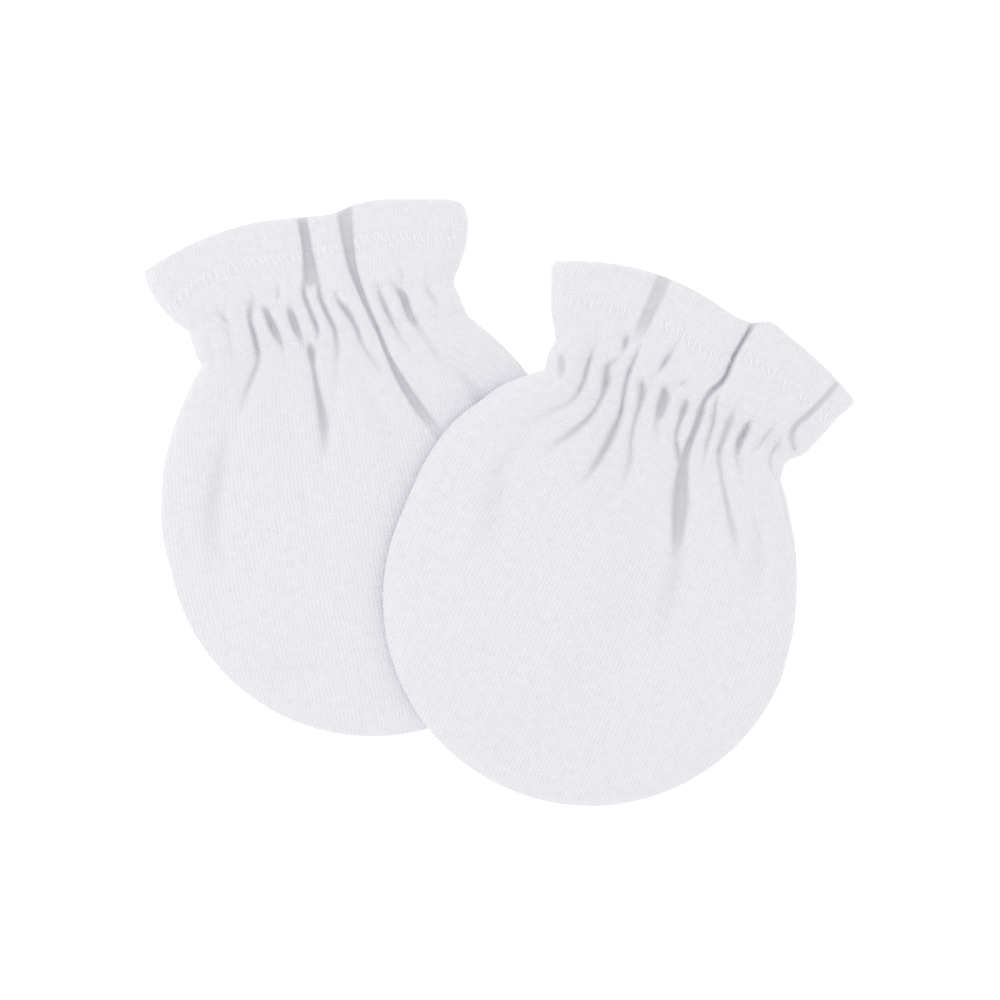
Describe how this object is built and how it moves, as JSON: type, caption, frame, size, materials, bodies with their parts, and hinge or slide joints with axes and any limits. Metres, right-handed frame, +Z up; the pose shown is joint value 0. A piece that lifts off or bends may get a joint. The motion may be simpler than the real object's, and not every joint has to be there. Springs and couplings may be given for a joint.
{
  "type": "pair of baby mittens",
  "caption": "Soft white cotton baby mittens laid flat, one over the side of the other, with round bodies, gathered elastic wrists and flared hemmed cuffs.",
  "frame": {"origin": "middle of the pair's box, on the surface that the pair lies on", "axes": "+X across the pair, from the lower mitten to the upper one, +Y up the lay towards the cuffs, +Z up from the surface"},
  "size_m": [0.141, 0.121, 0.0106],
  "materials": {
    "cotton": "soft matt white cotton interlock",
    "elastic": "matt white woven elastic"
  },
  "bodies": {
    "root": {"left_front_panel": "cotton", "left_back_panel": "cotton", "left_front_elastic": "elastic", "left_back_elastic": "elastic", "right_front_panel": "cotton", "right_back_panel": "cotton", "right_front_elastic": "elastic", "right_back_elastic": "elastic"}
  },
  "joints": []
}
